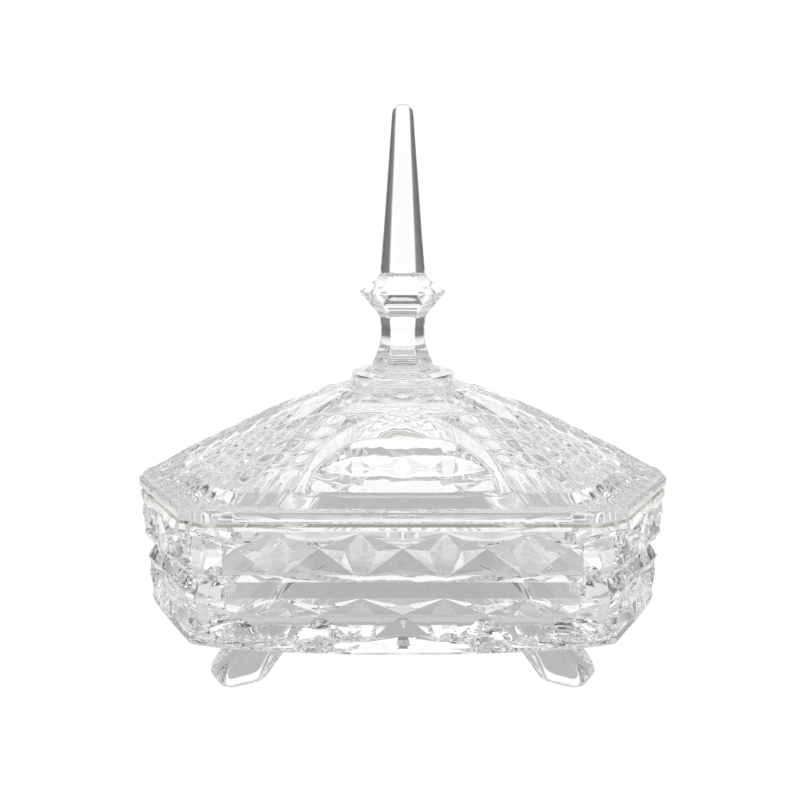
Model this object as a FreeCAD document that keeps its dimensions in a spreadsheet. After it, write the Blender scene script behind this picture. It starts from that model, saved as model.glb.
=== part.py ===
"""Three-footed glass powder jar with a lift-off domed lid and an obelisk finial.

The plan is a triangle with its corners cut off: three long faces, three short faces and a narrow
flat down each of the six corners. The bowl stands on three splayed feet below the short faces.
Its wall carries two rows of star-shaped facets above and below a V-shaped waist. The lid rests on
the bowl's rim, is kept in place by a lip inside the mouth, and carries a six-sided finial that is
cemented to its collar. One long face looks along -Y, and +Z is up.
"""
import FreeCAD
import Part
import Sketcher
import math
import os

DRIVING_SIZES = [
    # alias, millimetres or count, what it is
    ("long_side", "104.0", "long face, between the sharp corners of the plan"),
    ("short_side", "40.5", "short face, between the sharp corners of the plan"),
    ("corner_flat", "7.0", "width of the flat down each corner"),
    ("foot_height", "18.3", "underside of the bowl above the table"),
    ("base_bevel_height", "4.7", "bevel round the underside"),
    ("base_bevel_inset", "3.6", "underside inset from the rim outline"),
    ("base_corner_flat", "15.0", "corner flat at the underside"),
    ("lower_band_height", "11.6", "lower row of stars"),
    ("lower_band_inset_low", "1.6", "foot of the lower band, inset from the rim outline"),
    ("lower_band_inset_top", "1.0", "top of the lower band, inset from the rim outline"),
    ("waist_height", "6.1", "V-shaped waist between the bands"),
    ("waist_inset", "3.0", "bottom of the waist, inset from the rim outline"),
    ("upper_band_height", "10.9", "upper row of stars"),
    ("upper_band_inset", "0.5", "foot of the upper band, inset from the rim outline"),
    ("rim_band_height", "1.9", "plain band below the rim"),
    ("rim_bevel", "0.6", "bevel along the rim's outer edge"),
    ("wall", "6.0", "bowl wall at the rim"),
    ("floor", "6.5", "glass under the well"),
    ("well_draft", "1.4", "well wall draws in by this much down to the cove"),
    ("well_cove", "5.0", "cove between the well's wall and floor"),
    ("star_pitch", "20.2", "distance between stars along a face"),
    ("star_depth", "1.5", "depth of a star's centre below the face"),
    ("star_land", "8.4", "width of the flat lozenge between two stars"),
    ("foot_width", "13.0", "foot, across"),
    ("foot_root_in", "41.7", "foot root, inner end, in from the short face"),
    ("foot_root_out", "26.7", "foot root, outer end, in from the short face"),
    ("foot_sole_in", "29.2", "sole, inner end, in from the short face"),
    ("foot_sole_out", "17.2", "sole, outer end, in from the short face"),
    ("foot_toe_out", "14.2", "toe, outermost point, in from the short face"),
    ("foot_toe_height", "4.0", "height of the toe's farthest point"),
    ("foot_knee_bulge", "1.2", "how far the foot's back bulges past a straight line"),
    ("foot_bevel", "2.2", "bevel along the foot's long edges"),
    ("lid_overhang", "0.2", "lid flange beyond the rim outline"),
    ("flange_height", "3.4", "edge of the lid's flange"),
    ("flange_round", "0.8", "bevels above and below the flange's edge"),
    ("dome_height", "20.4", "dome above the flange"),
    ("dome_shoulder", "1.4", "dome's round top above the collar's root"),
    ("dome_crown_rim", "3.0", "flat of the dome's top beyond the collar"),
    ("lens_radius", "24.5", "clear lens in the middle of each long side of the dome"),
    ("lens_depth", "0.9", "lens below the dome"),
    ("lens_sill", "3.9", "lower edge of the lens, in from the long face"),
    ("lens_border", "28.5", "plain border round the lens, to where the flutes begin"),
    ("flute_shift", "0.3", "the first flute begins this far behind the axis"),
    ("flute_pitch", "4.2", "width of a flute"),
    ("flute_depth", "1.0", "flute below the dome"),
    ("plain_crown", "36.0", "radius of the plain top of the dome, inside the flutes"),
    ("lid_glass", "5.5", "glass in the dome, measured upright"),
    ("lip_clearance", "1.0", "gap between the lid's lip and the bowl's wall"),
    ("lip_width", "3.0", "lip, across"),
    ("lip_depth", "4.0", "lip below the flange"),
    ("collar_radius", "14.9", "collar on top of the dome"),
    ("collar_height", "4.0", "collar"),
    ("cement_radius", "13.6", "cement film between collar and finial"),
    ("cement_film", "0.2", "thickness of the cement film"),
    ("disc_radius", "14.5", "finial's round foot disc"),
    ("disc_height", "1.4", "finial's round foot disc"),
    ("plate_radius", "10.9", "six-sided plate on the disc, over corners"),
    ("flare_radius", "8.6", "flare above the plate, over corners"),
    ("stem_low_radius", "7.2", "foot of the stem, over corners"),
    ("stem_waist_radius", "6.2", "narrowest part of the stem, over corners"),
    ("stem_top_radius", "7.9", "top of the stem, over corners"),
    ("knop_low_radius", "9.0", "underside of the knop, over corners"),
    ("knop_radius", "12.9", "widest part of the knop, over corners"),
    ("knop_top_radius", "7.1", "top of the knop, over corners"),
    ("spire_low_radius", "6.5", "foot of the obelisk, over corners"),
    ("spire_top_radius", "3.1", "obelisk below its rounded tip, over corners"),
    ("tip_radius", "1.5", "flat on top of the rounded tip, over corners"),
    ("plate_height", "1.1", "six-sided plate"),
    ("flare_height", "1.8", "flare above the plate"),
    ("stem_foot_height", "3.0", "from the flare to the stem"),
    ("stem_low_height", "6.3", "stem below its waist"),
    ("stem_high_height", "5.3", "stem above its waist"),
    ("knop_foot_height", "0.9", "from the stem to the knop"),
    ("knop_low_height", "4.1", "knop below its ridge"),
    ("knop_high_height", "4.0", "knop above its ridge"),
    ("spire_foot_height", "0.6", "from the knop to the obelisk"),
    ("spire_height", "43.8", "obelisk below its rounded tip"),
    ("tip_height", "2.0", "rounded tip"),
]

SIDES = 3
TURN = 360.0 / SIDES
HEX_LINES = 6
TOUCH = 0.5  # how far a cutter starts outside the surface that it opens
LONG_STARS = (-2, -1, 0, 1, 2)  # a star's place along its face, counted in pitches
SHORT_STARS = (-0.5, 0.5)
# The dome's levels: the share of the plan's reach, and the share of the dome's height there. The
# hollow below follows the upper ones.
SKIRT_LEVELS = ((0.955, 0.11), (0.86, 0.34))
CROWN_LEVELS = ((0.72, 0.60), (0.60, 0.78), (0.48, 0.91), (0.36, 0.98))
FLUTE_LINES = (0, 2, 4, 6, 8)  # the flutes that are pressed, counted in pitches from the axis

doc = FreeCAD.newDocument("powder_jar")
sheet = doc.addObject("Spreadsheet::Sheet", "sizes")
for row, (alias, value, meaning) in enumerate(DRIVING_SIZES, start=1):
    sheet.set(f"A{row}", meaning)
    sheet.set(f"B{row}", value)
    sheet.setAlias(f"B{row}", alias)
doc.recompute()


def cell(alias):
    """A driving size, as text for an expression."""
    return f"<<sizes>>.{alias}"


def number(expression):
    """The value that an expression has now."""
    return float(sheet.evalExpression(expression))


# Expressions that several pieces share.
LONG_REACH = f"(({cell('long_side')} + 2 * {cell('short_side')}) / (2 * sqrt(3)))"
SHORT_REACH = f"(2 * {LONG_REACH} - {cell('short_side')} * sqrt(3) / 2)"
SHARP_REACH = f"({LONG_REACH} * sqrt(3) / 2 + {cell('long_side')} / 4)"
LOWER_BAND_LOW = f"({cell('foot_height')} + {cell('base_bevel_height')})"
LOWER_BAND_TOP = f"({LOWER_BAND_LOW} + {cell('lower_band_height')})"
UPPER_BAND_LOW = f"({LOWER_BAND_TOP} + {cell('waist_height')})"
UPPER_BAND_TOP = f"({UPPER_BAND_LOW} + {cell('upper_band_height')})"
RIM_TOP = f"({UPPER_BAND_TOP} + {cell('rim_band_height')})"
WELL_LOW = f"({cell('foot_height')} + {cell('floor')})"
DOME_LOW = f"({RIM_TOP} + {cell('flange_height')})"
COLLAR_ROOT = f"({DOME_LOW} + {cell('dome_height')} - {cell('dome_shoulder')})"
COLLAR_TOP = f"({COLLAR_ROOT} + {cell('collar_height')})"
FINIAL_LOW = f"({COLLAR_TOP} + {cell('cement_film')})"
# The origin lies below the middle of the whole outline, so the finial's axis is off it in Y.
AXIS_Y = f"(({LONG_REACH} - {SHORT_REACH}) / 2)"


def origin_plane(body, role):
    """One of a body's own origin planes."""
    return next(plane for plane in body.Origin.OriginFeatures if plane.Role == role)


def new_body(name):
    """A body on the finial's axis, in the jar's frame."""
    body = doc.addObject("PartDesign::Body", name)
    body.Label = name
    body.setExpression("Placement.Base.y", AXIS_Y)
    return body


def level_sketch(body, name, height):
    """An empty sketch on a horizontal plane."""
    sketch = body.newObject("Sketcher::SketchObject", name)
    sketch.AttachmentSupport = (origin_plane(body, "XY_Plane"), [""])
    sketch.MapMode = "FlatFace"
    sketch.setExpression("AttachmentOffset.Base.z", height)
    return sketch


def polygon_sketch(body, name, height, reaches):
    """A closed polygon round the axis.

    Each line is square to its own direction, and its reach is its distance from the axis. The
    first line looks along -Y and the others follow in equal turns.
    """
    sketch = level_sketch(body, name, height)
    count = len(reaches)
    turn = 2 * math.pi / count
    lines = []
    for index in range(count):
        angle = turn * index - math.pi / 2
        lines.append((math.cos(angle), math.sin(angle), number(reaches[index])))
    corners = []
    for (ax, ay, near), (bx, by, far) in zip(lines, lines[1:] + lines[:1]):
        corners.append(FreeCAD.Vector((near * by - far * ay) / (ax * by - ay * bx),
                                      (far * ax - near * bx) / (ax * by - ay * bx), 0))
    for index in range(count):
        sketch.addGeometry(Part.LineSegment(corners[index - 1], corners[index]), False)
    for index in range(count):
        sketch.addConstraint(Sketcher.Constraint("Coincident", index, 2, (index + 1) % count, 1))
    for index in range(count):
        sketch.addConstraint(Sketcher.Constraint("Angle", index, turn * index))
        reach = Sketcher.Constraint("Distance", -1, 1, index, lines[index][2])
        sketch.setExpression(f"Constraints[{sketch.addConstraint(reach)}]", reaches[index])
    return sketch


def plan_reaches(inset, flat=cell("corner_flat")):
    """Reaches of the jar's twelve-line plan, drawn in by the inset, from the front face on."""
    long_face = f"{LONG_REACH} - ({inset})"
    short_face = f"{SHORT_REACH} - ({inset})"
    corner = f"{SHARP_REACH} - ({inset}) * 2 / sqrt(3) - ({flat}) / (2 * sqrt(3))"
    return [long_face, corner, short_face, corner] * SIDES


def share_reaches(share, inset="0"):
    """Reaches of the plan shrunk to a share of its size, then drawn in by the inset."""
    return [f"({reach}) * {share} - ({inset})" for reach in plan_reaches("0")]


def level_loft(body, kind, name, levels):
    """Straight-sided loft through polygons, each given as its height and its reaches."""
    sketches = []
    for index, (height, reaches) in enumerate(levels):
        sketches.append(polygon_sketch(body, f"{name}_level_{index}", height, reaches))
    loft = body.newObject(kind, name)
    loft.Profile = sketches[0]
    loft.Sections = sketches[1:]
    loft.Ruled = True
    return loft


def round_pad(body, name, height, radius, length):
    """Round pad about the axis."""
    sketch = level_sketch(body, f"{name}_circle", height)
    circle = Part.Circle(FreeCAD.Vector(0, 0, 0), FreeCAD.Vector(0, 0, 1), number(radius))
    sketch.addGeometry(circle, False)
    sketch.addConstraint(Sketcher.Constraint("Coincident", 0, 3, -1, 1))
    reach = Sketcher.Constraint("Radius", 0, number(radius))
    sketch.setExpression(f"Constraints[{sketch.addConstraint(reach)}]", radius)
    pad = body.newObject("PartDesign::Pad", name)
    pad.Profile = sketch
    pad.setExpression("Length", length)
    return pad


def make_bowl_blank():
    """The bowl before its stars are pressed: banded outside, with a coved well."""
    body = new_body("bowl_blank")
    level_loft(body, "PartDesign::AdditiveLoft", "wall", [
        (cell("foot_height"), plan_reaches(cell("base_bevel_inset"), cell("base_corner_flat"))),
        (LOWER_BAND_LOW, plan_reaches(cell("lower_band_inset_low"))),
        (LOWER_BAND_TOP, plan_reaches(cell("lower_band_inset_top"))),
        (f"({LOWER_BAND_TOP} + {UPPER_BAND_LOW}) / 2", plan_reaches(cell("waist_inset"))),
        (UPPER_BAND_LOW, plan_reaches(cell("upper_band_inset"))),
        (f"{RIM_TOP} - {cell('rim_bevel')}", plan_reaches("0")),
        (RIM_TOP, plan_reaches(cell("rim_bevel"))),
    ])
    drawn_in = f"{cell('wall')} + {cell('well_draft')}"
    level_loft(body, "PartDesign::SubtractiveLoft", "well", [
        (f"{RIM_TOP} + {TOUCH}", plan_reaches(cell("wall"))),
        (RIM_TOP, plan_reaches(cell("wall"))),
        (f"{WELL_LOW} + {cell('well_cove')}", plan_reaches(drawn_in)),
        (f"{WELL_LOW} + {cell('well_cove')} / 4", plan_reaches(f"{drawn_in} + {cell('well_cove')} / 4")),
        (WELL_LOW, plan_reaches(f"{drawn_in} + {cell('well_cove')}")),
    ])
    return body


def star_cutter(turn, reach, low, height, low_inset, high_inset, place):
    """One star: a shallow pyramid with six edges, its point sunk into a face of the bowl.

    The outline meets its neighbours' at the band's top and bottom edges, and draws in at the
    middle of the band, where a flat lozenge of the face is left between two stars.
    """
    half = number(cell("star_pitch")) / 2
    waist = half - number(cell("star_land")) / 2
    centre = place * number(cell("star_pitch"))
    slope = (high_inset - low_inset) / height
    tilt = math.atan(slope)

    def on_face(along, up, sunk):
        inset = low_inset + slope * up + sunk * math.cos(tilt)
        return FreeCAD.Vector(along, -(reach - inset), low + up + sunk * math.sin(tilt))

    ring = [(-half, 0.0), (half, 0.0), (waist, height / 2), (half, height), (-half, height),
            (-waist, height / 2)]
    rim = [on_face(centre + along, up, 0.0) for along, up in ring]
    outside = [on_face(centre + along, up, -TOUCH) for along, up in ring]
    point = on_face(centre, height / 2, number(cell("star_depth")))
    faces = []
    for index in range(len(ring)):
        after = (index + 1) % len(ring)
        faces.append(Part.Face(Part.makePolygon([rim[index], rim[after], point, rim[index]])))
        side = [rim[index], outside[index], outside[after], rim[after], rim[index]]
        faces.append(Part.Face(Part.makePolygon(side)))
    faces.append(Part.Face(Part.makePolygon(outside + outside[:1])))
    star = Part.Solid(Part.makeShell(faces))
    star.rotate(FreeCAD.Vector(0, 0, 0), FreeCAD.Vector(0, 0, 1), turn)
    return star


def make_bowl():
    """The bowl: the blank with two rows of stars pressed into every face."""
    blank = make_bowl_blank()
    doc.recompute()
    rows = [
        (LOWER_BAND_LOW, "lower_band_height", "lower_band_inset_low", "lower_band_inset_top"),
        (UPPER_BAND_LOW, "upper_band_height", "upper_band_inset", None),
    ]
    faces = [(LONG_REACH, 0.0, LONG_STARS), (SHORT_REACH, TURN / 2, SHORT_STARS)]
    stars = []
    for low, height, low_inset, high_inset in rows:
        drawn_low = number(cell(low_inset))
        drawn_high = number(cell(high_inset)) if high_inset else 0.0
        for side in range(SIDES):
            for reach, turn, places in faces:
                for place in places:
                    stars.append(star_cutter(side * TURN + turn, number(reach), number(low),
                                             number(cell(height)), drawn_low, drawn_high, place))
    cutter = doc.addObject("Part::Feature", "stars")
    cutter.Shape = stars[0].fuse(stars[1:])
    cutter.setExpression("Placement.Base.y", AXIS_Y)
    bowl = doc.addObject("Part::Cut", "bowl")
    bowl.Label = "bowl"
    bowl.Base = blank
    bowl.Tool = cutter
    return bowl


def make_foot(name, turn):
    """A splayed foot under one short face: a side profile padded across, its long edges bevelled."""
    body = new_body(name)
    sketch = body.newObject("Sketcher::SketchObject", f"{name}_profile")
    sketch.AttachmentSupport = (origin_plane(body, "XZ_Plane"), [""])
    sketch.MapMode = "FlatFace"
    knee = f"({cell('foot_root_out')} + {cell('foot_toe_out')}) / 2 - {cell('foot_knee_bulge')}"
    drawn_in = [
        (cell("foot_root_in"), cell("foot_height")),
        (cell("foot_sole_in"), "0"),
        (cell("foot_sole_out"), "0"),
        (cell("foot_toe_out"), cell("foot_toe_height")),
        (knee, f"({cell('foot_height')} + {cell('foot_toe_height')}) / 2"),
        (cell("foot_root_out"), cell("foot_height")),
    ]
    profile = [(f"{SHORT_REACH} - ({inset})", up) for inset, up in drawn_in]
    points = [FreeCAD.Vector(number(out), number(up), 0) for out, up in profile]
    for index in range(len(points)):
        sketch.addGeometry(Part.LineSegment(points[index - 1], points[index]), False)
    for index in range(len(points)):
        sketch.addConstraint(Sketcher.Constraint("Coincident", index, 2, (index + 1) % len(points), 1))
    for index, (out, up) in enumerate(profile):
        across = Sketcher.Constraint("DistanceX", -1, 1, index, 2, points[index].x)
        sketch.setExpression(f"Constraints[{sketch.addConstraint(across)}]", out)
        upward = Sketcher.Constraint("DistanceY", -1, 1, index, 2, points[index].y)
        sketch.setExpression(f"Constraints[{sketch.addConstraint(upward)}]", up)
    pad = body.newObject("PartDesign::Pad", f"{name}_pad")
    pad.Profile = sketch
    pad.Midplane = True
    pad.setExpression("Length", cell("foot_width"))
    doc.recompute()
    edges = []
    for index, edge in enumerate(pad.Shape.Edges, start=1):
        ends = [vertex.Point for vertex in edge.Vertexes]
        in_side_face = abs(ends[0].y - ends[1].y) < Part.Precision.confusion()
        at_root = all(abs(end.z - number(cell("foot_height"))) < Part.Precision.confusion() for end in ends)
        if in_side_face and not at_root:
            edges.append(f"Edge{index}")
    bevel = body.newObject("PartDesign::Chamfer", f"{name}_bevel")
    bevel.Base = (pad, edges)
    bevel.setExpression("Size", cell("foot_bevel"))
    body.Placement.Rotation = FreeCAD.Rotation(FreeCAD.Vector(0, 0, 1), turn)
    return body


def make_lid_blank():
    """The lid before its flutes are pressed, and the dome's own shape.

    It has a flange, a dome and a collar, is hollow below, and has a lip that sits in the mouth.
    """
    body = new_body("lid_blank")
    beyond = f"-{cell('lid_overhang')}"
    bevelled = f"{cell('flange_round')} - {cell('lid_overhang')}"
    dome = [
        (RIM_TOP, plan_reaches(bevelled)),
        (f"{RIM_TOP} + {cell('flange_round')}", plan_reaches(beyond)),
        (f"{DOME_LOW} - {cell('flange_round')}", plan_reaches(beyond)),
        (DOME_LOW, plan_reaches(bevelled)),
    ]
    for share, rise in SKIRT_LEVELS + CROWN_LEVELS:
        dome.append((f"{DOME_LOW} + {cell('dome_height')} * {rise}", share_reaches(share)))
    crown = [f"{cell('collar_radius')} + {cell('dome_crown_rim')}"] * len(dome[0][1])
    dome.append((f"{DOME_LOW} + {cell('dome_height')}", crown))
    surface = level_loft(body, "PartDesign::AdditiveLoft", "dome", dome)
    round_pad(body, "collar", COLLAR_ROOT, cell("collar_radius"), cell("collar_height"))
    # The lip draws in as the well's wall does, so its gap holds all the way down.
    lip_top = f"{cell('wall')} + {cell('lip_clearance')}"
    lip_low = f"{lip_top} + {cell('well_draft')}"
    level_loft(body, "PartDesign::AdditiveLoft", "lip", [
        (f"{RIM_TOP} - {cell('lip_depth')}", plan_reaches(lip_low)),
        (RIM_TOP, plan_reaches(lip_top)),
    ])
    hollow = [
        (f"{RIM_TOP} - {cell('lip_depth')} - {TOUCH}", plan_reaches(f"{lip_low} + {cell('lip_width')}")),
        (f"{RIM_TOP} + {cell('flange_round')}", plan_reaches(f"{lip_low} + {cell('lip_width')}")),
    ]
    for share, rise in CROWN_LEVELS:
        height = f"{DOME_LOW} + {cell('dome_height')} * {rise} - {cell('lid_glass')}"
        hollow.append((height, share_reaches(share)))
    level_loft(body, "PartDesign::SubtractiveLoft", "hollow", hollow)
    return body, surface


def make_lid():
    """The lid: the blank with lenses and straight flutes pressed into its dome.

    The flutes run parallel to the three long faces, and stop at the lenses' borders and at the
    plain crown. The cutters stand upright on copies of the dome that are lowered by the pressed
    depth, so a flute's floor follows the dome.
    """
    blank, surface = make_lid_blank()
    doc.recompute()
    low = number(f"{DOME_LOW} + {cell('flange_round')}")
    tall = number(f"{DOME_LOW} + {cell('dome_height')}") + TOUCH - low
    reach = number(LONG_REACH)
    pitch = number(cell("flute_pitch"))
    on_axis = FreeCAD.Vector(0, 0, low)
    plain = Part.makeCylinder(number(cell("plain_crown")), tall, on_axis)
    borders = [plain]
    lenses = []
    flutes = []
    for side in range(SIDES):
        turn = side * TURN - 90
        angle = math.radians(turn)
        centre = FreeCAD.Vector(math.cos(angle) * reach, math.sin(angle) * reach, low)
        borders.append(Part.makeCylinder(number(cell("lens_border")), tall, centre))
        for line in FLUTE_LINES:
            start = line * pitch - number(cell("flute_shift"))
            flute = Part.makeBox(pitch, 4 * reach, tall, FreeCAD.Vector(start, -2 * reach, low))
            flute.rotate(FreeCAD.Vector(0, 0, 0), FreeCAD.Vector(0, 0, 1), turn)
            flutes.append(flute)
        apron = Part.makeBox(reach, 2 * reach, tall,
                             FreeCAD.Vector(reach - number(cell("lens_sill")), -reach, low))
        apron.rotate(FreeCAD.Vector(0, 0, 0), FreeCAD.Vector(0, 0, 1), turn)
        lenses.append(Part.makeCylinder(number(cell("lens_radius")), tall, centre).cut(apron))
    pressed = []
    for shapes, depth, kept in ((flutes, "flute_depth", borders), (lenses, "lens_depth", [])):
        floor = surface.Shape.copy()
        floor.translate(FreeCAD.Vector(0, 0, -number(cell(depth))))
        pressed.append(shapes[0].fuse(shapes[1:]).cut([floor] + kept))
    cutter = doc.addObject("Part::Feature", "flutes")
    cutter.Shape = pressed[0].fuse(pressed[1:])
    cutter.setExpression("Placement.Base.y", AXIS_Y)
    lid = doc.addObject("Part::Cut", "lid")
    lid.Label = "lid"
    lid.Base = blank
    lid.Tool = cutter
    return lid


def make_finial():
    """The finial: a round disc, then a six-sided plate, stem, knop and obelisk."""
    body = new_body("finial")
    round_pad(body, "disc", FINIAL_LOW, cell("disc_radius"), cell("disc_height"))
    steps = [
        ("disc_height", "plate_radius"),
        ("plate_height", "flare_radius"),
        ("flare_height", "flare_radius"),
        ("stem_foot_height", "stem_low_radius"),
        ("stem_low_height", "stem_waist_radius"),
        ("stem_high_height", "stem_top_radius"),
        ("knop_foot_height", "knop_low_radius"),
        ("knop_low_height", "knop_radius"),
        ("knop_high_height", "knop_top_radius"),
        ("spire_foot_height", "spire_low_radius"),
        ("spire_height", "spire_top_radius"),
        ("tip_height", "tip_radius"),
    ]
    height = FINIAL_LOW
    levels = []
    for rise, radius in steps:
        height = f"{height} + {cell(rise)}"
        levels.append((height, [f"{cell(radius)} * sqrt(3) / 2"] * HEX_LINES))
    level_loft(body, "PartDesign::AdditiveLoft", "spire", levels)
    return body


def make_cement():
    """The thin film of clear cement between the collar and the finial's disc."""
    body = new_body("finial_cement")
    round_pad(body, "film", COLLAR_TOP, cell("cement_radius"), cell("cement_film"))
    return body


# A foot's turn is counted from +X.
FEET = (("foot_front_left", 210.0), ("foot_front_right", 330.0), ("foot_back", 90.0))

pieces = [make_bowl()]
for foot_name, foot_turn in FEET:
    pieces.append(make_foot(foot_name, foot_turn))
pieces.append(make_lid())
pieces.append(make_cement())
pieces.append(make_finial())
doc.recompute()

for item in doc.Objects:
    if "Invalid" in item.State or "Error" in item.State:
        raise RuntimeError(f"{item.Label} failed: {item.State}")
os.makedirs("parts", exist_ok=True)
for piece in pieces:
    if piece.Shape.isNull() or not piece.Shape.isValid():
        raise RuntimeError(f"{piece.Label} has no valid shape")
for piece in pieces:
    piece.Shape.exportStep(f"parts/{piece.Label}.step")
    box = piece.Shape.BoundBox
    print(f"{piece.Label}: {len(piece.Shape.Solids)} solid, {piece.Shape.Volume:.0f} mm3, "
          f"x {box.XMin:.2f} to {box.XMax:.2f}, y {box.YMin:.2f} to {box.YMax:.2f}, "
          f"z {box.ZMin:.2f} to {box.ZMax:.2f}")
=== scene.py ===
"""Dressed model of a three-footed pressed-glass powder jar with a lift-off lid.

The jar's two glass pieces are closed surfaces worked out with numpy on grids that run round the
finial's axis. The bowl, with its feet, rides on one body of the frame, and the lid, with its
finial, on the other.
"""

import bpy
import numpy as np
from bpy.props import FloatProperty, FloatVectorProperty, PointerProperty
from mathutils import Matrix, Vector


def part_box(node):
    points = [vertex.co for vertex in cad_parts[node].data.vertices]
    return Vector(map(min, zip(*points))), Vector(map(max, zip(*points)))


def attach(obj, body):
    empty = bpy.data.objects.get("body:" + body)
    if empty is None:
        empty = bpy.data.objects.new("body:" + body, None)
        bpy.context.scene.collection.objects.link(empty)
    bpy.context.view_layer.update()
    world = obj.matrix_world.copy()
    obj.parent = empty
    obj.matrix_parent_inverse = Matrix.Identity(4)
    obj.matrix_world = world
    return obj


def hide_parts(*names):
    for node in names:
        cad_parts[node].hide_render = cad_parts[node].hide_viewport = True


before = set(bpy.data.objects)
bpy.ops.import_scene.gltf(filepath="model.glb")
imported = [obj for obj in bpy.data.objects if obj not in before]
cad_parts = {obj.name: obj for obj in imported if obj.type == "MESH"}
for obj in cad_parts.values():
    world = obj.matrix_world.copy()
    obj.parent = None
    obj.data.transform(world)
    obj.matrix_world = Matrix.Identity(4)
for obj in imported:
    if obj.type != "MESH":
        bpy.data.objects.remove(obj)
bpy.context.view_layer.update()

bl_info = {
    "name": "Glass Powder Jar",
    "version": (1, 0, 0),
    "blender": (4, 5, 0),
    "location": "View3D > Sidebar > Powder Jar",
    "description": "Builds a pressed-glass powder jar with its lid and finial, and its stage",
    "category": "Object",
}

BOWL_LOW, BOWL_HIGH = [np.array(corner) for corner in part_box("bowl")]
LID_LOW, LID_HIGH = [np.array(corner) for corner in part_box("lid")]
FINIAL_LOW, FINIAL_HIGH = [np.array(corner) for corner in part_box("finial")]
AXIS = (FINIAL_LOW[:2] + FINIAL_HIGH[:2]) / 2  # where the finial's axis stands
BASE = float(BOWL_LOW[2])
RIM = float(BOWL_HIGH[2])
COLLAR = float(LID_HIGH[2])
BOND = float(FINIAL_LOW[2])
TOP = float(FINIAL_HIGH[2])
PAIRS = 3  # long faces, each followed by a short one
SIXTH = np.pi / 3
ROOT3 = np.sqrt(3.0)
MM = 0.001


def length(name, default, description):
    """A size in metres for the sidebar."""
    return FloatProperty(name=name, description=description, default=default, min=0.0,
                         unit="LENGTH", precision=5)


class JarPlan(bpy.types.PropertyGroup):
    """Sizes of the plan that the bowl and the lid share."""
    long_side: length("Long side", 0.104, "Long face, between the sharp corners of the plan")
    short_side: length("Short side", 0.0405, "Short face, between the sharp corners of the plan")
    corner_flat: length("Corner flat", 0.007, "Width of the flat down each corner")


class JarBowl(bpy.types.PropertyGroup):
    """Sizes of the bowl."""
    star_pitch: length("Star pitch", 0.0202, "Distance between two stars along a face")
    star_depth: length("Star depth", 0.0017, "Depth of a star's centre below the face")
    wall: length("Wall", 0.006, "Glass in the wall at the rim")
    floor: length("Floor", 0.0065, "Glass under the well")
    polish: length("Polish", 0.00028, "Width of the fire-polished round on every ridge")


class JarLid(bpy.types.PropertyGroup):
    """Sizes of the lid."""
    overhang: length("Overhang", 0.0002, "Flange beyond the bowl's rim")
    lens_radius: length("Lens radius", 0.0258, "Clear lens in the middle of each long side")
    lens_depth: length("Lens depth", 0.0009, "Depth of the lens below the dome")
    flute_pitch: length("Flute pitch", 0.0042, "Distance between the flutes")
    flute_depth: length("Flute depth", 0.0010, "Depth of a flute below the dome")
    glass: length("Glass", 0.0064, "Glass in the dome")


class JarGlass(bpy.types.PropertyGroup):
    """Finish of the glass."""
    tint: FloatVectorProperty(name="Tint", description="Colour of the glass", subtype="COLOR",
                              default=(1.0, 1.0, 1.0), min=0.0, max=1.0)
    ior: FloatProperty(name="IOR", description="Refraction of the glass", default=1.54, min=1.0)
    waviness: FloatProperty(name="Waviness", description="Strength of the moulded ripple",
                            default=0.2, min=0.0, max=1.0)
    grain: FloatProperty(name="Grain", description="Waves of the moulded ripple in a metre",
                         default=70.0, min=0.0)
    ground: FloatVectorProperty(name="Ground edge", description="Colour of the rim's ground edge",
                                subtype="COLOR", default=(0.60, 0.56, 0.44), min=0.0, max=1.0)


# ---------------------------------------------------------------- plan

def plan_reaches(plan):
    """Distances of the long and short faces from the axis.

    The corners are all 120 degrees, so the long face lies (long + 2 short) / (2 root 3) away,
    and the short one at twice that less short * root 3 / 2.
    """
    long_reach = (plan.long_side + 2 * plan.short_side) / (2 * ROOT3)
    return long_reach, 2 * long_reach - plan.short_side * ROOT3 / 2


def half_widths(plan, inset, flat):
    """Half widths of the long and short faces: the sharp half less inset / root 3 and the cut."""
    cut = (inset + flat) / ROOT3
    return plan.long_side / 2 - cut, plan.short_side / 2 - cut


def outline(plan, inset, flat, counts):
    """Closed outline of the twelve-sided plan as an array of points round the axis.

    Each face and each corner flat is a straight run with its own count of equal steps, given
    for the long faces, the short faces and the flats.
    """
    reaches = plan_reaches(plan)
    halves = half_widths(plan, inset, flat)
    corners = []
    for index in range(2 * PAIRS):
        reach = reaches[index % 2] - inset
        half = halves[index % 2]
        angle = SIXTH * index - np.pi / 2
        normal = np.array([np.cos(angle), np.sin(angle)])
        along = np.array([-np.sin(angle), np.cos(angle)])
        corners += [normal * reach - along * half, normal * reach + along * half]
    corners = np.array(corners)
    runs = []
    for index in range(len(corners)):
        steps = counts[2] if index % 2 else counts[(index // 2) % 2]
        share = np.arange(steps)[:, None] / steps
        runs.append(corners[index] * (1 - share) + corners[(index + 1) % len(corners)] * share)
    return np.concatenate(runs)


def smooth(low, high, value):
    """0 below low, 1 above high, and 3t^2 - 2t^3 between them."""
    share = np.clip((value - low) / (high - low), 0.0, 1.0)
    return share * share * (3 - 2 * share)


# ---------------------------------------------------------------- meshes

def ring_faces(first, second):
    """Quads between two rings of vertex numbers of equal count, facing outwards going upwards."""
    return np.stack([first, np.roll(first, -1), np.roll(second, -1), second], axis=1)


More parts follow.
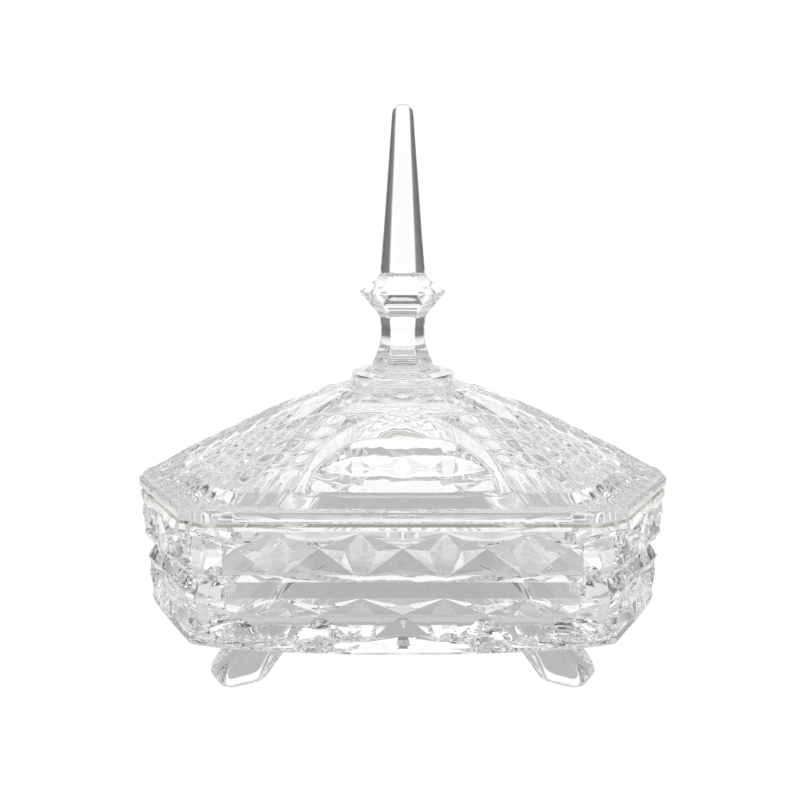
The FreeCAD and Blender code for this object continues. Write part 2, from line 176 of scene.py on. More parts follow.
def solid_of_rings(name, rings, low_pole, high_pole):
    """Closed mesh from rings of equal count, bottom to top, shut by a pole at each end.

    Every face is a quad between the same places of two rings that follow each other. A pole is
    a ring whose points all fall together, and doubles are merged into one point.
    """
    rings = np.array(rings)
    levels, count, _ = rings.shape
    low = np.broadcast_to(np.asarray(low_pole), (1, count, 3))
    high = np.broadcast_to(np.asarray(high_pole), (1, count, 3))
    points = np.concatenate([low, rings, high]).reshape(-1, 3)
    numbers = np.arange(len(points)).reshape(levels + 2, count)
    faces = np.concatenate([ring_faces(lower, upper) for lower, upper in zip(numbers, numbers[1:])])
    return mesh_object(name, points, faces)


def mesh_object(name, points, faces):
    """Object of a mesh from arrays of points and quads, its doubles merged.

    Points that agree to a ten-thousandth of a millimetre are one. A quad that keeps three
    corners becomes a triangle, and one that folds flat is dropped.
    """
    keys = np.round(np.asarray(points) / 1e-7).astype(np.int64)
    _, first, back = np.unique(keys, axis=0, return_index=True, return_inverse=True)
    back = back.reshape(-1)
    points = np.asarray(points)[first]
    faces = back[np.asarray(faces)]
    keep = faces != np.roll(faces, 1, axis=1)
    sizes = keep.sum(axis=1)
    opposite = (faces[:, 0] == faces[:, 2]) | (faces[:, 1] == faces[:, 3])
    good = (sizes >= 3) & ~opposite
    faces, keep, sizes = faces[good], keep[good], sizes[good]
    mesh = bpy.data.meshes.new(name)
    mesh.vertices.add(len(points))
    mesh.vertices.foreach_set("co", points.astype(np.float32).ravel())
    loops = faces[keep]
    mesh.loops.add(len(loops))
    mesh.loops.foreach_set("vertex_index", loops.astype(np.int32))
    mesh.polygons.add(len(faces))
    starts = np.concatenate([[0], np.cumsum(sizes)[:-1]])
    mesh.polygons.foreach_set("loop_start", starts.astype(np.int32))
    mesh.update(calc_edges=True)
    mesh.validate()
    thing = bpy.data.objects.new(name, mesh)
    bpy.context.scene.collection.objects.link(thing)
    return thing


def settle(thing):
    """Applies the object's modifiers to its mesh."""
    graph = bpy.context.evaluated_depsgraph_get()
    mesh = bpy.data.meshes.new_from_object(thing.evaluated_get(graph))
    old = thing.data
    thing.modifiers.clear()
    thing.data = mesh
    mesh.name = thing.name
    bpy.data.meshes.remove(old)


def smooth_faces(thing):
    """Shades all the object's faces smoothly."""
    faces = thing.data.polygons
    faces.foreach_set("use_smooth", np.ones(len(faces), bool))


# ---------------------------------------------------------------- bowl

STARS = 5  # stars to either side of a face's middle, which is more than fit
LOZENGE = 0.3025  # where a lozenge's side corner lies, in pitches from the star's centre
UPPER_TIP = 0.5  # where a star's upper tip lies
LOWER_TIP = 0.426  # and its lower tip
UPPER_NOTCH = 0.605  # height of the notch between two upper tips, as a share of the half band
LOWER_NOTCH = 0.78  # and between two lower tips
BAND_MIDDLE = 0.57  # where a star's centre lies in the height of its band


def star_columns(tip, notch):
    """Columns of a half band over all its stars, as shares of the pitch and the depth.

    A column is a broken line in three levels: the middle of the band, the notch and the edge.
    Seven of them follow a star's creases: its axis, the edge of its notch, its arm, the side of
    the lozenge, and the last three mirrored for the next star.
    """
    side = LOZENGE + (tip - LOZENGE) * notch
    along = np.array([[0, 0, 0], [0, 0, tip], [0, tip * notch, tip], [LOZENGE, side, tip]])
    depth = np.array([[1, 0, 0], [1, 0, 0], [1, 1 - notch, 0], [0, 0, 0]], float)
    along = np.concatenate([along, 1 - along[:0:-1]])
    depth = np.concatenate([depth, depth[:0:-1]])
    stars = np.arange(-STARS, STARS)[:, None, None]
    return (along[None] + stars).reshape(-1, 3), np.tile(depth, (2 * STARS, 1))


def band_row(face, share, tip, notch):
    """One level of a half band on one face: places along it in pitches, and depths.

    The columns are cut off where the face ends, and the depth there is read off the row between
    the columns on either side.
    """
    along, depth = star_columns(tip, notch)
    along = along + face["shift"]
    at = np.array([0.0, notch, 1.0])
    upper = int(np.searchsorted(at[1:-1], share, side="right"))
    part = (share - at[upper]) / (at[upper + 1] - at[upper])
    place = along[:, upper] * (1 - part) + along[:, upper + 1] * part
    sunk = depth[:, upper] * (1 - part) + depth[:, upper + 1] * part
    kept = np.clip(place[face["columns"]], -face["end"], face["end"])
    return kept, np.interp(kept, place, sunk)


def bowl_faces(plan, bowl):
    """The long and the short face: the stars' shift and the face's end in pitches, and columns.

    A face keeps the columns that reach into it, and one more beyond each end. A star stands in
    the middle of a long face, and a gap between two in the middle of a short one.
    """
    along, _ = star_columns(UPPER_TIP, UPPER_NOTCH)
    lowest = np.minimum(along[:, 0], along[:, 2])
    highest = np.maximum(along[:, 0], along[:, 2])
    faces = []
    for half, shift in zip(half_widths(plan, 0.0, plan.corner_flat), (0.0, 0.5)):
        end = half / bowl.star_pitch
        inside = np.flatnonzero((highest + shift > -end) & (lowest + shift < end))
        columns = np.concatenate([[inside[0] - 1], inside, [inside[-1] + 1]])
        faces.append({"shift": shift, "end": end, "columns": columns})
    return faces


def bowl_ring(plan, bowl, faces, height, inset, flat, share=None, lower=False, bulge=0.0):
    """One ring of the bowl: its points at a height, drawn in from the rim's outline.

    Without a share the columns lie evenly in proportion. With one, they lie on the stars'
    creases, and the glass is sunk by the stars' depth. A bulge draws the ends of a long face in
    by that much more than its middle, along a parabola.
    """
    reaches = plan_reaches(plan)
    halves = half_widths(plan, inset, flat)
    tip, notch = (LOWER_TIP, LOWER_NOTCH) if lower else (UPPER_TIP, UPPER_NOTCH)
    points = []
    for index in range(2 * PAIRS):
        face = faces[index % 2]
        half = halves[index % 2]
        place, sunk = band_row(face, share or 0.0, tip, notch)
        if share is None:
            sunk = np.zeros_like(sunk)
            x = place / face["end"] * half
        else:
            x = np.clip(place * bowl.star_pitch, -half, half)
        sunk = sunk * bowl.star_depth
        out = reaches[index % 2] - inset - sunk - bulge * (x / halves[0]) ** 2
        angle = SIXTH * index - np.pi / 2
        points.append(np.stack([np.cos(angle) * out - np.sin(angle) * x,
                                np.sin(angle) * out + np.cos(angle) * x,
                                np.full(x.shape, height)], axis=1))
    return np.concatenate(points) + np.array([AXIS[0], AXIS[1], 0.0])


def bowl_rings(plan, bowl):
    """The bowl's rings, from the underside up the outside, over the rim and down the well."""
    faces = bowl_faces(plan, bowl)
    rings = []

    def add(height, inset, corner=plan.corner_flat, **more):
        rings.append(bowl_ring(plan, bowl, faces, height * MM, inset * MM, corner, **more))

    base = BASE / MM
    rim = RIM / MM
    add(base, 14.0, 0.012)
    # The underside rounds up into the wall along a quarter of an ellipse, and its corner flats
    # are wider the farther under they lie.
    curl = 4.7
    for turn in np.radians([0, 12, 28, 46, 66]):
        add(base + curl * (1 - np.cos(turn)), 4.8 - 3.2 * np.sin(turn), 0.015 - 0.006 * turn,
            bulge=0.0035 * np.cos(turn))
    # The two bands of stars: low and high level, and how far each lies inside the rim's outline.
    bands = [(base + curl, base + 16.3, 1.6, 1.0), (rim - 12.8, rim - 1.9, 0.5, 0.0)]
    for low, high, low_inset, high_inset in bands:
        middle = low + BAND_MIDDLE * (high - low)
        middle_inset = low_inset + BAND_MIDDLE * (high_inset - low_inset)
        for share in (1.0, 0.878, LOWER_NOTCH, 0.71, 0.579):
            add(middle + (low - middle) * share, middle_inset + (low_inset - middle_inset) * share,
                share=share, lower=True)
        for share in (0.0, 0.362, UPPER_NOTCH, 0.748, 1.0):
            add(middle + (high - middle) * share,
                middle_inset + (high_inset - middle_inset) * share, share=share)
        if high < rim - 3:
            add(high + 3.3, 3.0)  # the waist's crease
    add(rim - 0.6, 0.0)
    add(rim, 0.6)
    # The well: its wall thickens by the draft on the way down and ends in a cove.
    wall = bowl.wall / MM
    floor = base + bowl.floor / MM
    draft, cove = 1.4, 5.0
    add(rim, wall - 0.5)
    add(rim - 0.5, wall)
    add(floor + cove, wall + draft)
    for turn in np.radians([20, 40, 60, 80]):
        add(floor + cove * (1 - np.sin(turn)), wall + draft + cove * (1 - np.cos(turn)))
    add(floor, wall + draft + cove + 1.0)
    return rings


def make_bowl(plan, bowl):
    """The bowl's glass: its rings between a pole under the base and one on the well's floor."""
    rings = bowl_rings(plan, bowl)
    centre = [AXIS[0], AXIS[1]]
    return solid_of_rings("jar_glass", rings, centre + [BASE], centre + [BASE + bowl.floor])


FEET = (("foot_front_left", 210.0), ("foot_front_right", 330.0), ("foot_back", 90.0))
# A foot's sections from the sole up, in millimetres: how high each lies, its inner and its outer
# end from the axis, and its half width.
FOOT_SECTIONS = (
    (0.0, 47.5, 54.6, 3.0), (0.3, 46.0, 56.4, 4.1), (1.2, 45.0, 57.9, 4.9),
    (2.8, 43.9, 58.8, 5.6), (4.6, 42.6, 58.2, 6.0), (6.5, 41.0, 56.7, 6.3),
    (9.0, 38.8, 54.4, 6.5), (12.0, 35.4, 51.6, 6.6), (15.5, 31.2, 48.7, 6.6),
    (18.3, 27.6, 46.4, 6.6), (20.5, 27.0, 46.0, 6.4))


def make_foot(turn):
    """One splayed foot: rounded sections along a bent line from under the base to the toe.

    A section is a superellipse, |u|^4.6 + |v|^4.6 = 1, half as wide as the foot and as deep as
    the foot is there.
    """
    up, inner, outer, half = (np.array(FOOT_SECTIONS) * MM).T[:, :, None]
    angles = np.linspace(0, 2 * np.pi, 32, endpoint=False)
    u, v = [np.sign(wave) * np.abs(wave) ** (2 / 4.6) for wave in (np.cos(angles), np.sin(angles))]
    out = (inner + outer) / 2 + u * (outer - inner) / 2
    side = v * half
    angle = np.radians(turn)
    rings = np.stack([AXIS[0] + np.cos(angle) * out - np.sin(angle) * side,
                      AXIS[1] + np.sin(angle) * out + np.cos(angle) * side,
                      np.broadcast_to(up, out.shape)], axis=2)
    return solid_of_rings("foot", rings, rings[0].mean(axis=0), rings[-1].mean(axis=0))


# ---------------------------------------------------------------- lid

LID_COUNTS = (160, 52, 14)  # columns on each long face, short face and corner flat
DOME_LEVELS = 96
FINIAL_COLUMNS = 144
FLANGE = RIM + 3.4 * MM  # the dome's foot on the flange
CROWN = 0.0175  # radius of the dome's upper edge, round the collar
RIDGE = 0.0003  # distance of the axis from the nearest ridge
CROSSED = 10  # rows of cells, counted from the axis
PLAIN = (6, 4)  # rows that the plain crown covers, towards the nearest long face and the next


def face_normals():
    """Directions of the three long faces, the front one first."""
    angles = 2 * SIXTH * np.arange(PAIRS) - np.pi / 2
    return np.stack([np.cos(angles), np.sin(angles)], axis=1)


def scallop(place):
    """Depth across a row of flutes: |sin(pi p)|^1.5, where p counts the ridges."""
    return np.abs(np.sin(np.pi * place)) ** 1.5


def dome_relief(plan, lid, x, y, edge):
    """Depth pressed into the dome at a place of the plan, given its distance from the edge.

    Every ridge runs parallel to a long face. Counting outwards from the axis towards the two
    nearest long faces, in pitches, the higher count's rows cross the lower count's up to the
    tenth, and a cell between four ridges is a dimple, the product of both scallops. Beyond it
    only the lower count's flutes run on, down to the flange, where they end on a slope. Low down
    towards both faces the crown is plain, and sunk a little. Round the middle of each long side
    there is a lens with a sloping border, wider at the top, and a straight sill below.
    """
    reach = plan_reaches(plan)[0]
    toward = np.sort(np.stack([x * nx + y * ny for nx, ny in face_normals()]), axis=0)
    near = (toward[2] + RIDGE) / lid.flute_pitch
    side = (toward[1] + RIDGE) / lid.flute_pitch
    cells = lid.flute_depth * 0.6 * scallop(near) * scallop(side)
    flutes = lid.flute_depth * scallop(side) * smooth(CROSSED, CROSSED + 0.35, near)
    patterned = np.where(near < CROSSED, cells, flutes)
    patterned = np.where(side > 0, patterned, 0.0)
    fade = smooth(0, 0.25, PLAIN[0] - near) * smooth(0, 0.25, PLAIN[1] - side)
    plain = 0.0005 * fade * smooth(0, 0.25, side)
    depth = np.where((near > PLAIN[0]) | (side > PLAIN[1]), patterned, plain)
    depth = np.minimum(depth, np.clip(edge - 0.0008, 0.0, None) * 0.55)
    for nx, ny in face_normals():
        inward = reach - (x * nx + y * ny)
        along = y * nx - x * ny
        radius = np.hypot(inward, along)
        tilt = np.arctan2(np.abs(along), inward)
        outer = lid.lens_radius + 0.0045 * np.exp(-tilt / 0.61)
        inner = lid.lens_radius - 0.001 - 0.0036 * np.exp(-(tilt / 0.44) ** 2)
        border = np.clip((outer - radius) / (outer - inner), 0.0, 1.0)
        sill = np.clip((inward - 0.0039) / 0.0012, 0.0, 1.0)
        depth = np.where(radius < outer + 0.0009, 0.0, depth)
        depth = np.maximum(depth, lid.lens_depth * np.minimum(border, sill))
    return depth


def dome_rise(reach):
    """Height of the dome above the flange, 22.4 mm * (1 - q^1.2).

    The reach is a place's share of the way from the axis to the outline. Its q is 0 over the
    crown, up to a quarter of the way, and 1 at the outline.
    """
    q = np.clip((reach - 0.25) / 0.75, 0.0, 1.0)
    return 0.0224 * (1 - q ** 1.2)


def dome_rings(plan, lid):
    """The dome's rings from the flange up to the crown, and the crown's angles.

    A point's distance from the axis runs evenly from the outline to the crown's circle, its
    angle turns from the outline's own to an even one, and its height above the flange is the
    dome's rise there, less the relief and a shallow dip round the collar.
    """
    line = outline(plan, 0.0006 - lid.overhang, plan.corner_flat, LID_COUNTS)
    own = np.unwrap(np.arctan2(line[:, 1], line[:, 0]))
    even = 2 * np.pi * np.arange(len(line)) / len(line)
    even = even - (even - own).mean()
    share = np.linspace(0.0, 1.0, DOME_LEVELS)[:, None]
    angle = own * (1 - share ** 2) + even * share ** 2
    around = np.concatenate([own - 2 * np.pi, own, own + 2 * np.pi])
    far = np.interp(angle, around, np.tile(np.hypot(line[:, 0], line[:, 1]), 3))
    radius = far * (1 - share) + CROWN * share
    x = radius * np.cos(angle)
    y = radius * np.sin(angle)
    reaches = plan_reaches(plan)
    edge = np.full_like(x, 1.0)
    for index, turn in enumerate(SIXTH * np.arange(2 * PAIRS) - np.pi / 2):
        out = x * np.cos(turn) + y * np.sin(turn)
        edge = np.minimum(edge, reaches[index % 2] - out)
    depth = dome_relief(plan, lid, x, y, edge) * smooth(CROWN + 0.0003, CROWN + 0.002, radius)
    dip = 0.0014 * (1 - smooth(CROWN, CROWN + 0.003, radius))
    z = FLANGE + dome_rise(radius / far) - 1.15 * depth - dip
    return np.stack([x + AXIS[0], y + AXIS[1], z], axis=2), angle[-1]


def lid_ring(plan, inset, height, share=1.0):
    """A level ring along the plan's outline, drawn in by an inset and then scaled by a share."""
    line = outline(plan, inset, plan.corner_flat, LID_COUNTS) * share
    return np.column_stack([line + AXIS, np.full(len(line), height)])


# The lip and the flange: how far inside the outline each ring lies, and how high over the rim, in
# millimetres. The flange's underside keeps 0.2 mm off the rim, so that no two faces coincide.
LIP_AND_FLANGE = (
    (11.3, 0.6), (11.4, -3.7), (10.9, -4.0), (8.9, -4.0), (8.4, -3.6), (7.0, -0.1),
    (6.6, 0.2), (0.6, 0.2), (0.0, 0.45), (-0.2, 1.0), (-0.2, 2.6), (0.05, 3.15))


def underside_rings(plan, lid):
    """The lid's rings from the hollow's middle out and down, round the lip and up the flange.

    The hollow's top follows the dome's rise, lower by the thickness of the glass.
    """
    rings = []
    for share in np.linspace(0.06, 0.90, 14):
        rings.append(lid_ring(plan, 11.4 * MM, FLANGE - lid.glass + dome_rise(0.86 * share), share))
    low = rings[-1][0, 2]
    rings.append(lid_ring(plan, 11.2 * MM, (low + RIM + 1.2 * MM) / 2))
    rings += [lid_ring(plan, inset * MM, RIM + height * MM) for inset, height in LIP_AND_FLANGE]
    return rings


def round_ring(angles, radius, height):
    """A ring about the axis, with a radius for each angle."""
    return np.stack([AXIS[0] + radius * np.cos(angles), AXIS[1] + radius * np.sin(angles),
                     np.broadcast_to(height, angles.shape)], axis=1)


def hexagon(angles, corner, power):
    """Radius of a rounded hexagon with a face to the front: (sum of (cos / apothem)^p)^(-1/p)."""
    turns = SIXTH * np.arange(6)[:, None] - np.pi / 2
    cosines = np.clip(np.cos(angles[None] - turns), 0.0, None)
    apothem = corner * ROOT3 / 2
    return (((cosines / apothem) ** power).sum(axis=0)) ** (-1 / power)


def collar_rings(angles):
    """The collar's rings. Its foot rises to six points, by 1 - |sin(3t)| of a lift."""
    peaks = 1 - np.abs(np.sin(3 * (angles + np.pi / 2)))
    foot = RIM + 22.7 * MM
    steps = [(16.0, foot, 1.7), (15.2, foot - 0.5 * MM, 1.8), (14.9, foot, 1.8),
             (14.9, COLLAR - 0.5 * MM, 0), (14.4, COLLAR, 0)]
    return [round_ring(angles, radius * MM, height + lift * MM * peaks)
            for radius, height, lift in steps]


# The finial's rings, in millimetres: height over the bond, radius over the corners, and the power
# that rounds the corners, which is 0 where the ring is a circle.
FINIAL_PROFILE = (
    (0.0, 13.6, 0), (0.1, 14.1, 0), (0.4, 14.5, 0), (1.0, 14.5, 0), (1.4, 14.1, 0), (1.5, 12.0, 0),
    (1.6, 11.2, 30), (1.9, 10.9, 30), (2.4, 10.4, 30), (2.7, 9.4, 30), (3.1, 8.9, 30),
    (3.6, 8.6, 30), (4.3, 8.5, 30), (5.5, 7.9, 30), (7.3, 7.2, 30), (9.0, 6.7, 30),
    (11.0, 6.35, 30), (13.6, 6.2, 30), (16.0, 6.5, 30), (17.6, 7.0, 30), (18.9, 7.9, 30),
    (19.4, 8.6, 24), (19.8, 9.0, 20), (21.0, 10.0, 16), (22.6, 11.8, 12), (23.6, 12.7, 12),
    (23.9, 12.9, 12), (24.3, 12.6, 12), (25.6, 10.4, 14), (26.8, 8.5, 16), (27.9, 7.1, 20),
    (28.5, 6.5, 30), (29.5, 6.45, 16), (40.0, 5.6, 13), (50.0, 4.8, 13), (60.0, 4.0, 12),
    (70.0, 3.25, 10), (72.3, 3.1, 9), (73.0, 2.8, 8), (73.6, 2.3, 6), (74.0, 1.7, 4),
    (74.2, 1.0, 2))


def finial_rings(angles):
    """The finial's rings: circles for the disc, then rounded hexagons up to the tip."""
    rings = []
    for height, corner, power in FINIAL_PROFILE:
        radius = hexagon(angles, corner * MM, power) if power else np.full(len(angles), corner * MM)
        rings.append(round_ring(angles, radius, BOND + height * MM))
    return rings


def make_lid(plan, lid):
    """The lid's glass: hollow, lip, flange, dome and collar, with the finial on top.

    The finial's rings have fewer columns, and the faces between it and the collar each span
    one step of the wide ring and none or one of the narrow ring.
    """
    dome, angles = dome_rings(plan, lid)
    wide = underside_rings(plan, lid) + list(dome) + collar_rings(angles)
    every = len(angles) // FINIAL_COLUMNS
    few = angles[::every]
    middle = np.tile([*AXIS, wide[0][0, 2]], (len(angles), 1))
    tip = np.tile([*AXIS, TOP], (len(few), 1))
    wide = np.array([middle] + wide)
    narrow = np.array(finial_rings(few) + [tip])
    points = np.concatenate([wide.reshape(-1, 3), narrow.reshape(-1, 3)])
    big = np.arange(wide[..., 0].size).reshape(wide.shape[:2])
    small = np.arange(narrow[..., 0].size).reshape(narrow.shape[:2]) + big.size
    faces = [ring_faces(a, b) for a, b in zip(big, big[1:])]
    faces += [ring_faces(a, b) for a, b in zip(small, small[1:])]
    faces.append(ring_faces(big[-1], np.repeat(small[0], every)))
    return mesh_object("lid_glass", points, np.concatenate(faces))


# ---------------------------------------------------------------- materials

def node_group(name, inputs, outputs):
    """A new shader node group with its sockets, and its input and output nodes."""
    group = bpy.data.node_groups.new(name, "ShaderNodeTree")
    for label, kind, value in inputs:
        socket = group.interface.new_socket(label, in_out="INPUT", socket_type=kind)
        socket.default_value = value
    for label, kind in outputs:
        group.interface.new_socket(label, in_out="OUTPUT", socket_type=kind)
    return group, group.nodes.new("NodeGroupInput"), group.nodes.new("NodeGroupOutput")


def moulded_ripple_group():
    """The slow ripple that a mould and the fire polish leave, as a height.

    Two noises of different grain on Object coordinates are added.
    """
    group, inputs, outputs = node_group(
        "Moulded ripple", [("Grain", "NodeSocketFloat", 70.0)], [("Height", "NodeSocketFloat")])
    links = group.links
    place = group.nodes.new("ShaderNodeTexCoord")
    wide = group.nodes.new("ShaderNodeTexNoise")
    fine = group.nodes.new("ShaderNodeTexNoise")
    finer = group.nodes.new("ShaderNodeMath")
    finer.operation = "MULTIPLY"
    finer.inputs[1].default_value = 3.1
    links.new(inputs.outputs["Grain"], finer.inputs[0])
    for noise, source in ((wide, inputs.outputs["Grain"]), (fine, finer.outputs[0])):
        noise.inputs["Detail"].default_value = 1.0
        links.new(place.outputs["Object"], noise.inputs["Vector"])
        links.new(source, noise.inputs["Scale"])
    blend = group.nodes.new("ShaderNodeMath")
    blend.operation = "MULTIPLY_ADD"
    blend.inputs[1].default_value = 0.25
    links.new(fine.outputs["Fac"], blend.inputs[0])
    links.new(wide.outputs["Fac"], blend.inputs[2])
    links.new(blend.outputs[0], outputs.inputs["Height"])
    return group


def glass_material(name, glass):
    """Clear pressed glass: a Principled shader with full transmission and a rippled normal."""
    material = bpy.data.materials.new(name)
    material.use_nodes = True
    nodes, links = material.node_tree.nodes, material.node_tree.links
    shader = nodes["Principled BSDF"]
    shader.inputs["Base Color"].default_value = (*glass.tint, 1.0)
    shader.inputs["Roughness"].default_value = 0.0
    shader.inputs["Transmission Weight"].default_value = 1.0
    shader.inputs["IOR"].default_value = glass.ior
    wave = nodes.new("ShaderNodeGroup")
    wave.node_tree = bpy.data.node_groups.get("Moulded ripple") or moulded_ripple_group()
    wave.inputs["Grain"].default_value = glass.grain
    bump = nodes.new("ShaderNodeBump")
    bump.inputs["Strength"].default_value = glass.waviness
    bump.inputs["Distance"].default_value = 0.0006
    links.new(wave.outputs["Height"], bump.inputs["Height"])
    links.new(bump.outputs["Normal"], shader.inputs["Normal"])
    return material


def ground_edge(material, glass, low, high):
    """Tints a material's glass between two heights, where the rim's edge is ground.

    The colour follows a ramp on Object Z: the ground edge's between the two, the glass's beyond.
    """
    nodes, links = material.node_tree.nodes, material.node_tree.links
    place = nodes.new("ShaderNodeTexCoord")
    split = nodes.new("ShaderNodeSeparateXYZ")
    links.new(place.outputs["Object"], split.inputs[0])
    height = nodes.new("ShaderNodeMapRange")
    height.inputs["From Min"].default_value = low
    height.inputs["From Max"].default_value = high
    links.new(split.outputs["Z"], height.inputs["Value"])
    ramp = nodes.new("ShaderNodeValToRGB")
    elements = ramp.color_ramp.elements
    stops = ((0.0, glass.tint), (0.1, glass.ground), (0.95, glass.ground), (1.0, glass.tint))
    for position, _ in stops[1:-1]:
        elements.new(position)
    for element, (position, colour) in zip(elements, stops):
        element.position = position
        element.color = (*colour, 1.0)
    links.new(height.outputs["Result"], ramp.inputs["Fac"])
    links.new(ramp.outputs["Color"], nodes["Principled BSDF"].inputs["Base Color"])


def flag_group():
    """How far a direction lies behind one of three soft flags, from 0 to 1. For a place on the
    floor it gives painted shade.

    The flags stand towards the long faces: they follow sin(3 * azimuth), so each side of the
    jar is lit alike.
    """
    group, inputs, outputs = node_group(
        "Flags", [("Place", "NodeSocketVector", (0.0, 0.0, 0.0))], [("Flag", "NodeSocketFloat")])
    nodes, links = group.nodes, group.links
    split = nodes.new("ShaderNodeSeparateXYZ")
    links.new(inputs.outputs["Place"], split.inputs[0])
    turn = nodes.new("ShaderNodeMath")
    turn.operation = "ARCTAN2"
    links.new(split.outputs["Y"], turn.inputs[0])
    links.new(split.outputs["X"], turn.inputs[1])
    thrice = nodes.new("ShaderNodeMath")
    thrice.operation = "MULTIPLY"
    thrice.inputs[1].default_value = 3.0
    links.new(turn.outputs[0], thrice.inputs[0])
    wave = nodes.new("ShaderNodeMath")
    wave.operation = "SINE"
    links.new(thrice.outputs[0], wave.inputs[0])
    flag = soft_step(nodes, links, wave.outputs[0], (-0.2, 0.75), (0.0, 1.0))
    links.new(flag, outputs.inputs["Flag"])
    return group


def soft_step(nodes, links, source, span, values):
    """Output of a node that goes smoothly from the first value to the second over a span."""
    step = nodes.new("ShaderNodeMapRange")
    step.interpolation_type = "SMOOTHSTEP"
    for name, value in zip(("From Min", "From Max", "To Min", "To Max"), (*span, *values)):
        step.inputs[name].default_value = value
    links.new(source, step.inputs["Value"])
    return step.outputs["Result"]


def product(nodes, links, first, second):
    """Output of a node that multiplies two outputs."""
    node = nodes.new("ShaderNodeMath")
    node.operation = "MULTIPLY"
    links.new(first, node.inputs[0])
    links.new(second, node.inputs[1])
    return node.outputs[0]


def shaded(nodes, links, place, light, depth):
    """Light less what the flags hold back: light * (1 - flag * depth); on the floor, painted shade.
    """
    flags = nodes.new("ShaderNodeGroup")
    flags.node_tree = bpy.data.node_groups.get("Flags") or flag_group()
    links.new(place, flags.inputs["Place"])
    held = product(nodes, links, flags.outputs["Flag"], depth)
    rest = nodes.new("ShaderNodeMath")
    rest.operation = "SUBTRACT"
    rest.inputs[0].default_value = 1.0
    links.new(held, rest.inputs[1])
    return product(nodes, links, light, rest.outputs[0])


def white_to_camera(nodes, links, light):
    """Pure white for what is seen straight, and the light for what is seen through the glass."""
    path = nodes.new("ShaderNodeLightPath")
    pick = nodes.new("ShaderNodeMix")
    links.new(path.outputs["Is Camera Ray"], pick.inputs["Factor"])
    links.new(light, pick.inputs["A"])
    pick.inputs["B"].default_value = 1.0
    return pick.outputs["Result"]


def painted_shade_floor_material():
    """White paper floor, with a painted shadow below the jar and painted shade of the flags farther
    out.

    Seen straight it is evenly white. The light that it sends into the glass is painted shade: it
    falls off under the jar, from the paper's white to a grey at the axis, a painted shadow of the
    jar, and farther out it darkens in the pattern of the flags.
    """
    material = bpy.data.materials.new("pale_floor_painted_shade")
    material.use_nodes = True
    nodes, links = material.node_tree.nodes, material.node_tree.links
    nodes.clear()
    place = nodes.new("ShaderNodeTexCoord").outputs["Object"]
    reach = nodes.new("ShaderNodeVectorMath")
    reach.operation = "LENGTH"
    links.new(place, reach.inputs[0])
    # Painted shade: the emission seen through the glass is darker under the jar, a painted shadow
    # of the jar, and darker farther out in the flags' pattern.
    light = soft_step(nodes, links, reach.outputs["Value"], (0.02, 0.17), (0.42, 1.05))
    depth = soft_step(nodes, links, reach.outputs["Value"], (0.18, 0.38), (0.0, 0.87))
    light = shaded(nodes, links, place, light, depth)
    glow = nodes.new("ShaderNodeEmission")
    links.new(white_to_camera(nodes, links, light), glow.inputs["Color"])
    output = nodes.new("ShaderNodeOutputMaterial")
    links.new(glow.outputs["Emission"], output.inputs["Surface"])
    return material


def studio_world():
    """White cyclorama with three soft flags near the horizon, and a soft box overhead.

    The light follows the ramp's stops on the sine of the elevation.
    """
    world = bpy.data.worlds.new("studio")
    world.use_nodes = True
    nodes, links = world.node_tree.nodes, world.node_tree.links
    background = nodes["Background"]
    place = nodes.new("ShaderNodeTexCoord").outputs["Generated"]
    split = nodes.new("ShaderNodeSeparateXYZ")
    links.new(place, split.inputs[0])
    ramp = nodes.new("ShaderNodeValToRGB")
    links.new(split.outputs["Z"], ramp.inputs["Fac"])
    stops = ((0.0, 1.1), (0.40, 1.05), (0.60, 0.6), (0.80, 0.45), (0.90, 0.8), (1.0, 0.8))
    elements = ramp.color_ramp.elements
    for position, _ in stops[1:-1]:
        elements.new(position)
    for element, (position, value) in zip(elements, stops):
        element.position = position
        element.color = (value, value, value, 1)
    depth = soft_step(nodes, links, split.outputs["Z"], (0.50, 0.70), (0.85, 0.0))
    light = shaded(nodes, links, place, ramp.outputs["Color"], depth)
    links.new(white_to_camera(nodes, links, light), background.inputs["Color"])
    return world


def finish_piece(thing, glass, nodes, body):
    """Gives a piece its glass and its place on a body, and hides the CAD nodes that it stands for.
    """
    thing.data.materials.clear()
    thing.data.materials.append(glass_material(thing.name + "_material", glass))
    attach(thing, body)
    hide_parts(*nodes)


# ---------------------------------------------------------------- operators

class OBJECT_OT_jar_bowl(bpy.types.Operator):
    """Build the bowl with its feet as one piece of glass"""
    bl_idname = "object.jar_bowl"
    bl_label = "Bowl and Feet"

    def execute(self, context):
        scene = context.scene
        bowl = make_bowl(scene.jar_plan, scene.jar_bowl)
        polish = bowl.modifiers.new("Polish", "BEVEL")
        polish.width = scene.jar_bowl.polish
        polish.segments = 2
        polish.limit_method = "ANGLE"
        polish.angle_limit = np.radians(7)
        settle(bowl)
        feet = [make_foot(turn) for _, turn in FEET]
        for foot in feet:
            smooth_faces(foot)
            join = bowl.modifiers.new("Join", "BOOLEAN")
            join.operation = "UNION"
            join.solver = "EXACT"
            join.object = foot
        settle(bowl)
        for foot in feet:
            bpy.data.objects.remove(foot)
        smooth_faces(bowl)
        bowl.data.set_sharp_from_angle(angle=np.radians(38))
        flats = bowl.modifiers.new("Flats", "WEIGHTED_NORMAL")
        flats.keep_sharp = True
        settle(bowl)
        finish_piece(bowl, scene.jar_glass, ["bowl"] + [name for name, _ in FEET], "base")
        ground_edge(bowl.data.materials[0], scene.jar_glass, RIM - 0.0007, RIM)
        return {"FINISHED"}


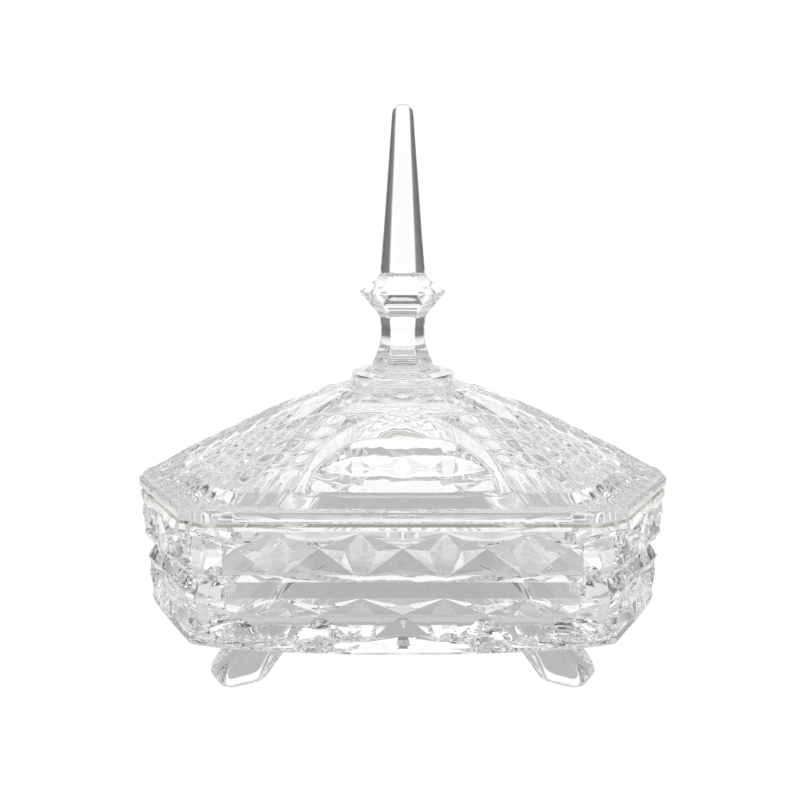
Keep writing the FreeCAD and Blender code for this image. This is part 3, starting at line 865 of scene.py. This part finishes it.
class OBJECT_OT_jar_lid(bpy.types.Operator):
    """Build the lid with its finial as one piece of glass"""
    bl_idname = "object.jar_lid"
    bl_label = "Lid and Finial"

    def execute(self, context):
        scene = context.scene
        lid = make_lid(scene.jar_plan, scene.jar_lid)
        smooth_faces(lid)
        lid.data.set_sharp_from_angle(angle=np.radians(35))
        finish_piece(lid, scene.jar_glass, ["lid", "finial_cement", "finial"], "lid")
        return {"FINISHED"}


class OBJECT_OT_jar_stage(bpy.types.Operator):
    """Build the pale floor, the soft light and the camera"""
    bl_idname = "object.jar_stage"
    bl_label = "Stage"

    def execute(self, context):
        scene = context.scene
        reach, low = 4.0, -0.0002
        corners = [(-reach, -reach, low), (reach, -reach, low), (reach, reach, low),
                   (-reach, reach, low)]
        floor = mesh_object("floor", corners, [[0, 1, 2, 3]])
        floor.data.materials.append(painted_shade_floor_material())
        scene.world = studio_world()
        data = bpy.data.cameras.new("camera")
        data.sensor_width = 36.0
        data.lens = 1.275 * data.sensor_width
        data.shift_x = -0.0034
        data.clip_start = 0.01
        camera = bpy.data.objects.new("camera", data)
        scene.collection.objects.link(camera)
        camera.location = (AXIS[0], AXIS[1] - 0.285, 0.1305)
        camera.rotation_euler = (np.pi / 2 - 0.199, 0.0, 0.0)
        scene.camera = camera
        scene.view_settings.view_transform = "Standard"
        # Light is thrown to and fro inside the thick glass many times before it comes out.
        for kind in ("max_bounces", "glossy_bounces", "transmission_bounces"):
            setattr(scene.cycles, kind, 32)
        return {"FINISHED"}


class VIEW3D_PT_powder_jar(bpy.types.Panel):
    """Lists the jar's pieces and their sizes"""
    bl_label = "Powder Jar"
    bl_idname = "VIEW3D_PT_powder_jar"
    bl_space_type = "VIEW_3D"
    bl_region_type = "UI"
    bl_category = "Powder Jar"

    def draw(self, context):
        for operator, groups in STEPS:
            box = self.layout.box()
            box.operator(operator)
            for group in groups:
                settings = getattr(context.scene, group)
                for name in settings.bl_rna.properties.keys():
                    if name not in ("rna_type", "name"):
                        box.prop(settings, name)


STEPS = (("object.jar_bowl", ("jar_plan", "jar_bowl")),
         ("object.jar_lid", ("jar_lid", "jar_glass")),
         ("object.jar_stage", ()))
GROUPS = {"jar_plan": JarPlan, "jar_bowl": JarBowl, "jar_lid": JarLid, "jar_glass": JarGlass}
CLASSES = (JarPlan, JarBowl, JarLid, JarGlass, OBJECT_OT_jar_bowl, OBJECT_OT_jar_lid,
           OBJECT_OT_jar_stage, VIEW3D_PT_powder_jar)


def register():
    """Registers the classes and hangs their settings on the scene."""
    for item in CLASSES:
        bpy.utils.register_class(item)
    for name, group in GROUPS.items():
        setattr(bpy.types.Scene, name, PointerProperty(type=group))


def unregister():
    """Takes the settings off the scene and unregisters the classes."""
    for name in GROUPS:
        delattr(bpy.types.Scene, name)
    for item in reversed(CLASSES):
        bpy.utils.unregister_class(item)


def main():
    """Builds the pieces and the stage."""
    register()
    bpy.ops.object.jar_bowl()
    bpy.ops.object.jar_lid()
    bpy.ops.object.jar_stage()


if __name__ == "__main__":
    main()
